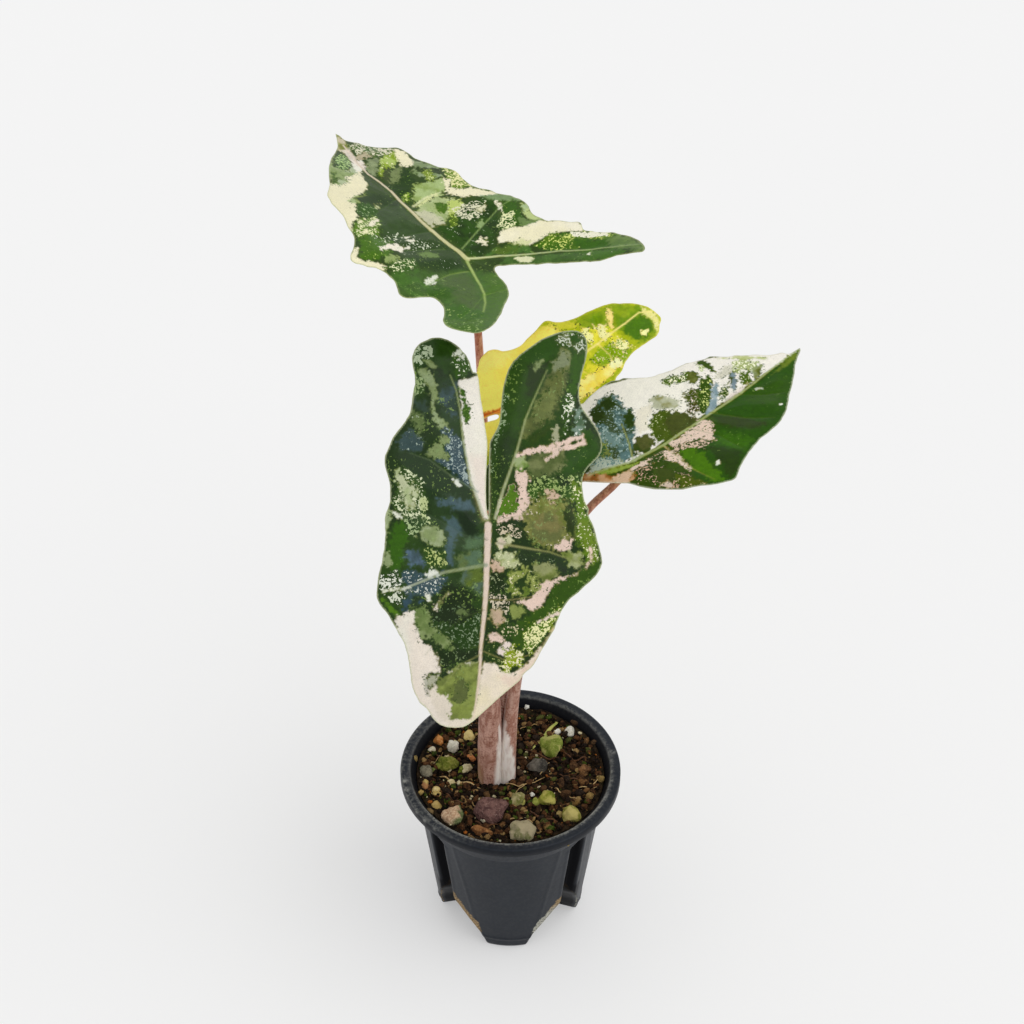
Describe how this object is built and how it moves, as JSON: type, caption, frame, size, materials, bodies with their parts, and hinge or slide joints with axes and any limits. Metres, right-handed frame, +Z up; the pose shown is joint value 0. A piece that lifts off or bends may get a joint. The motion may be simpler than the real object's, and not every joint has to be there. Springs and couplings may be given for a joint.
{
  "type": "potted variegated alocasia plant",
  "caption": "Potted variegated alocasia with arrow-shaped marbled leaves on slender petioles, in a small footed nursery pot with gravelly mix.",
  "frame": {"origin": "middle of the whole object's box, at the level of the pot's feet", "axes": "+Z up from the feet to the highest leaf, -Y toward the front foot, +X to the right seen from the front"},
  "size_m": [0.1668, 0.1676, 0.3239],
  "materials": {
    "nursery_pot": "satin moulded plastic, charcoal",
    "potting_mix": "loose moist bark and fibre mix, dark brown",
    "corm": "matt living root tissue",
    "stem_base": "smooth living stalk, mottled pinkish brown",
    "petiole_front": "smooth living stalk, mottled pinkish brown",
    "petiole_top": "smooth living stalk, mottled pinkish brown",
    "petiole_right": "smooth living stalk, mottled pinkish brown",
    "petiole_rear": "smooth living stalk, mottled pinkish brown",
    "leaf_front": "glossy waxy leaf, variegated green, pink and cream",
    "leaf_top": "glossy waxy leaf, variegated green, pink and cream",
    "leaf_right": "glossy waxy leaf, variegated green, pink and cream",
    "leaf_rear": "glossy waxy leaf, variegated green, pink and cream",
    "root_1": "matt living root tissue",
    "root_2": "matt living root tissue",
    "root_3": "matt living root tissue",
    "root_4": "matt living root tissue",
    "pebble_orange": "rough natural stone",
    "gravel_white": "rough natural stone",
    "pebble_cream": "rough natural stone",
    "gravel_mossy": "rough natural stone",
    "pebble_grey_left": "rough natural stone",
    "gravel_cream_small": "rough natural stone",
    "gravel_tan": "rough natural stone",
    "pebble_cream_front": "rough natural stone",
    "pebble_tan_front": "rough natural stone",
    "stone_green_pink": "rough natural stone",
    "lava_rock": "rough natural stone",
    "bark_chip_front": "rough bark chip",
    "stone_grey_green": "rough natural stone",
    "stone_tan_green": "rough natural stone",
    "stone_yellow_green": "rough natural stone",
    "stone_yellow_right": "rough natural stone",
    "stone_green": "rough natural stone",
    "perlite_right": "white porous perlite",
    "stone_dark": "rough natural stone",
    "bark_chip_right": "rough bark chip"
  },
  "bodies": {
    "root": {"nursery_pot": "nursery_pot", "potting_mix": "potting_mix", "corm": "corm", "stem_base": "stem_base", "petiole_front": "petiole_front", "petiole_top": "petiole_top", "petiole_right": "petiole_right", "petiole_rear": "petiole_rear", "leaf_front": "leaf_front", "leaf_top": "leaf_top", "leaf_right": "leaf_right", "leaf_rear": "leaf_rear", "root_1": "root_1", "root_2": "root_2", "root_3": "root_3", "root_4": "root_4", "pebble_orange": "pebble_orange", "gravel_white": "gravel_white", "pebble_cream": "pebble_cream", "gravel_mossy": "gravel_mossy", "pebble_grey_left": "pebble_grey_left", "gravel_cream_small": "gravel_cream_small", "gravel_tan": "gravel_tan", "pebble_cream_front": "pebble_cream_front", "pebble_tan_front": "pebble_tan_front", "stone_green_pink": "stone_green_pink", "lava_rock": "lava_rock", "bark_chip_front": "bark_chip_front", "stone_grey_green": "stone_grey_green", "stone_tan_green": "stone_tan_green", "stone_yellow_green": "stone_yellow_green", "stone_yellow_right": "stone_yellow_right", "stone_green": "stone_green", "perlite_right": "perlite_right", "stone_dark": "stone_dark", "bark_chip_right": "bark_chip_right"}
  },
  "joints": []
}
